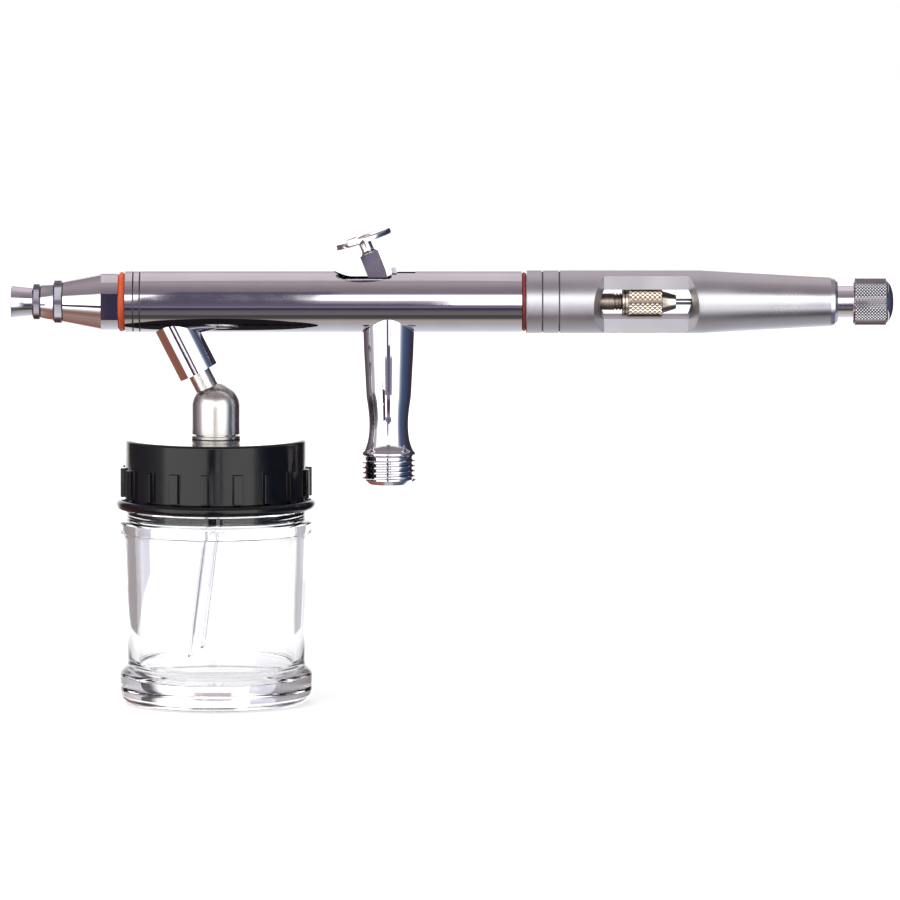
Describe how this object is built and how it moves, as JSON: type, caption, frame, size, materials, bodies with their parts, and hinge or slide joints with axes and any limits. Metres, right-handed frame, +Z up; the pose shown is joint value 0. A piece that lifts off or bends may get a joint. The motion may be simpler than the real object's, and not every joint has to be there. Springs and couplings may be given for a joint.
{
  "type": "airbrush gun",
  "caption": "Double-action siphon-feed airbrush with a chrome barrel, a satin handle with a window, a rocking trigger, an air valve with a hose thread and a swivelling screw-on glass bottle.",
  "frame": {"origin": "on the air valve's axis, at the middle of the lowest crest of the hose thread", "axes": "+X from the nozzle to the preset knob along the barrel, +Z up through the air valve to the barrel, +Y away from the picture's camera"},
  "size_m": [0.1573, 0.0358, 0.0854],
  "materials": {
    "chrome_barrel": "mirror-polished chrome plate",
    "orange_seal": "smooth rubber",
    "red_seal": "smooth rubber",
    "black_seal": "smooth rubber",
    "white_plastic": "smooth moulded fluoroplastic",
    "brass_inner": "turned brass",
    "spring_steel": "drawn wire",
    "bright_steel": "fine turned steel",
    "warm_nickel": "knurled nickel plate",
    "satin_handle": "fine bead-blasted satin",
    "brushed_fitting": "fine vertical brushing",
    "black_plastic": "glossy injection moulding",
    "clear_tube": "translucent flexible tube",
    "clear_glass": "clear pressed glass"
  },
  "bodies": {
    "airbrush": {"barrel": "chrome_barrel", "siphon_stem": "chrome_barrel", "front_o_ring": "orange_seal", "head": "chrome_barrel", "nozzle_seal": "white_plastic", "fluid_nozzle": "brass_inner", "nozzle_cap": "chrome_barrel", "needle_cap": "chrome_barrel", "needle_packing": "white_plastic", "packing_screw": "brass_inner", "valve_body": "chrome_barrel", "valve_screw": "brass_inner", "valve_spring": "spring_steel", "needle_spring": "spring_steel", "spring_case": "bright_steel", "rear_o_ring": "red_seal", "handle": "satin_handle"},
    "plunger": {"valve_plunger": "brass_inner", "valve_o_ring": "black_seal"},
    "trigger": {"trigger": "chrome_barrel"},
    "rocker": {"rocker_lever": "bright_steel"},
    "needle_set": {"needle": "bright_steel", "needle_chuck": "bright_steel"},
    "nut": {"chuck_nut": "warm_nickel"},
    "knob_seal": {"knob_o_ring": "black_seal"},
    "knob": {"preset_knob": "warm_nickel"},
    "spigot": {"bottle_spigot": "brushed_fitting"},
    "bottle": {"bottle_elbow": "brushed_fitting", "elbow_collar": "brushed_fitting", "cap_nut": "bright_steel", "bottle_cap": "black_plastic", "siphon_tube": "clear_tube"},
    "jar_liner": {"cap_liner": "white_plastic"},
    "jar": {"glass_jar": "clear_glass"}
  },
  "joints": [
    {"name": "trigger_press", "type": "slide", "parent": "airbrush", "child": "plunger", "axis": [0, 0, -1], "range_m": [0, 0.0015], "stiffness_N_per_m": 900, "springref_m": -0.0012, "deforming": ["valve_spring"]},
    {"name": "trigger_rock", "type": "hinge", "parent": "plunger", "child": "trigger", "pos_m": [0, 0, 0.02825], "axis": [0, 1, 0], "range_deg": [0, 21]},
    {"name": "rocker_tilt", "type": "hinge", "parent": "airbrush", "child": "rocker", "pos_m": [0.00275, 0, 0.02853], "axis": [0, 1, 0], "range_deg": [0, 16.5]},
    {"name": "needle_slide", "type": "slide", "parent": "airbrush", "child": "needle_set", "axis": [1, 0, 0], "range_m": [0, 0.0015], "stiffness_N_per_m": 1190, "springref_m": -0.0004, "deforming": ["needle_spring"]},
    {"name": "chuck_nut_turn", "type": "hinge", "parent": "needle_set", "child": "nut", "pos_m": [0.0457, 0, 0.03128], "axis": [1, 0, 0], "range_deg": [0, 360]},
    {"name": "knob_advance", "type": "slide", "parent": "airbrush", "child": "knob_seal", "axis": [-1, 0, 0], "range_m": [-0.0016, 0.0022]},
    {"name": "knob_turn", "type": "hinge", "parent": "knob_seal", "child": "knob", "pos_m": [0.0857, 0, 0.03128], "axis": [-1, 0, 0], "range_deg": [-720, 990]},
    {"name": "bottle_pull", "type": "slide", "parent": "airbrush", "child": "spigot", "axis": [0.454, 0, -0.891], "range_m": [0, 0.012]},
    {"name": "bottle_swivel", "type": "hinge", "parent": "spigot", "child": "bottle", "pos_m": [-0.03083, 0, 0.01279], "axis": [0.454, 0, -0.891], "range_deg": [-75, 75]},
    {"name": "jar_drop", "type": "slide", "parent": "bottle", "child": "jar_liner", "axis": [0, 0, -1], "range_m": [0, 0.00375]},
    {"name": "jar_unscrew", "type": "hinge", "parent": "jar_liner", "child": "jar", "pos_m": [-0.03083, 0, -0.02], "axis": [0, 0, -1], "range_deg": [0, 450]}
  ],
  "couplings": [
    {"joint": "trigger_rock", "follows": "needle_slide", "rad_per_m": 244.34},
    {"joint": "rocker_tilt", "follows": "needle_slide", "rad_per_m": 190.58},
    {"joint": "knob_turn", "follows": "knob_advance", "rad_per_m": 7853.9},
    {"joint": "jar_drop", "follows": "jar_unscrew", "m_per_rad": 0.00047746}
  ]
}
